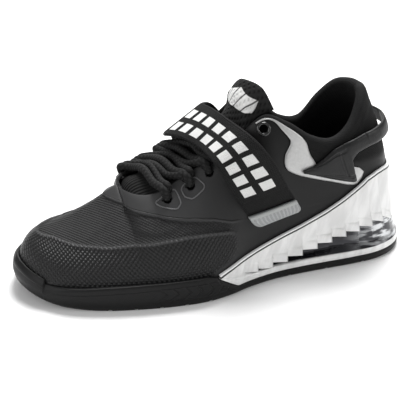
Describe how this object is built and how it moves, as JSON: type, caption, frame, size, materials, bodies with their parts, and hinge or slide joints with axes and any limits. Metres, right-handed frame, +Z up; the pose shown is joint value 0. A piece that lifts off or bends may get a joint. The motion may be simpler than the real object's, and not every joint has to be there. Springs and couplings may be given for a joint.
{
  "type": "weightlifting shoe",
  "caption": "Left weightlifting shoe with a raised ridged silver heel wedge, black rubber sole with toe bumper, laced throat, wide strap and heel loop",
  "frame": {"origin": "on the floor under the middle of the shoe's bounding box", "axes": "the toe points along -X, the lateral side faces -Y, +Z is up"},
  "size_m": [0.292, 0.1078, 0.1399],
  "materials": {
    "outsole": "satin moulded rubber",
    "heel_wedge": "metallic silver coat over moulded plastic, dark chrome in the recess",
    "upper": "black diagonal mesh under a smooth dark grey cage, dimpled toe band",
    "insole": "black cloth over foam",
    "tongue": "black ribbed knit and spacer mesh",
    "laces": "black braided cord",
    "eyelet_ring_lateral": "glossy",
    "eyelet_ring_medial": "glossy",
    "strap": "black ribbed webbing with plain white bars",
    "strap_tab": "satin silver with plain ribs",
    "heel_loop": "dark grey coated band with raised triangles",
    "quarter_film_lateral": "silver film",
    "quarter_film_medial": "silver film"
  },
  "bodies": {
    "root": {"outsole": "outsole", "heel_wedge": "heel_wedge", "upper": "upper", "insole": "insole", "tongue": "tongue", "laces": "laces", "eyelet_ring_lateral": "eyelet_ring_lateral", "eyelet_ring_medial": "eyelet_ring_medial", "strap": "strap", "strap_tab": "strap_tab", "heel_loop": "heel_loop", "quarter_film_lateral": "quarter_film_lateral", "quarter_film_medial": "quarter_film_medial"}
  },
  "joints": []
}
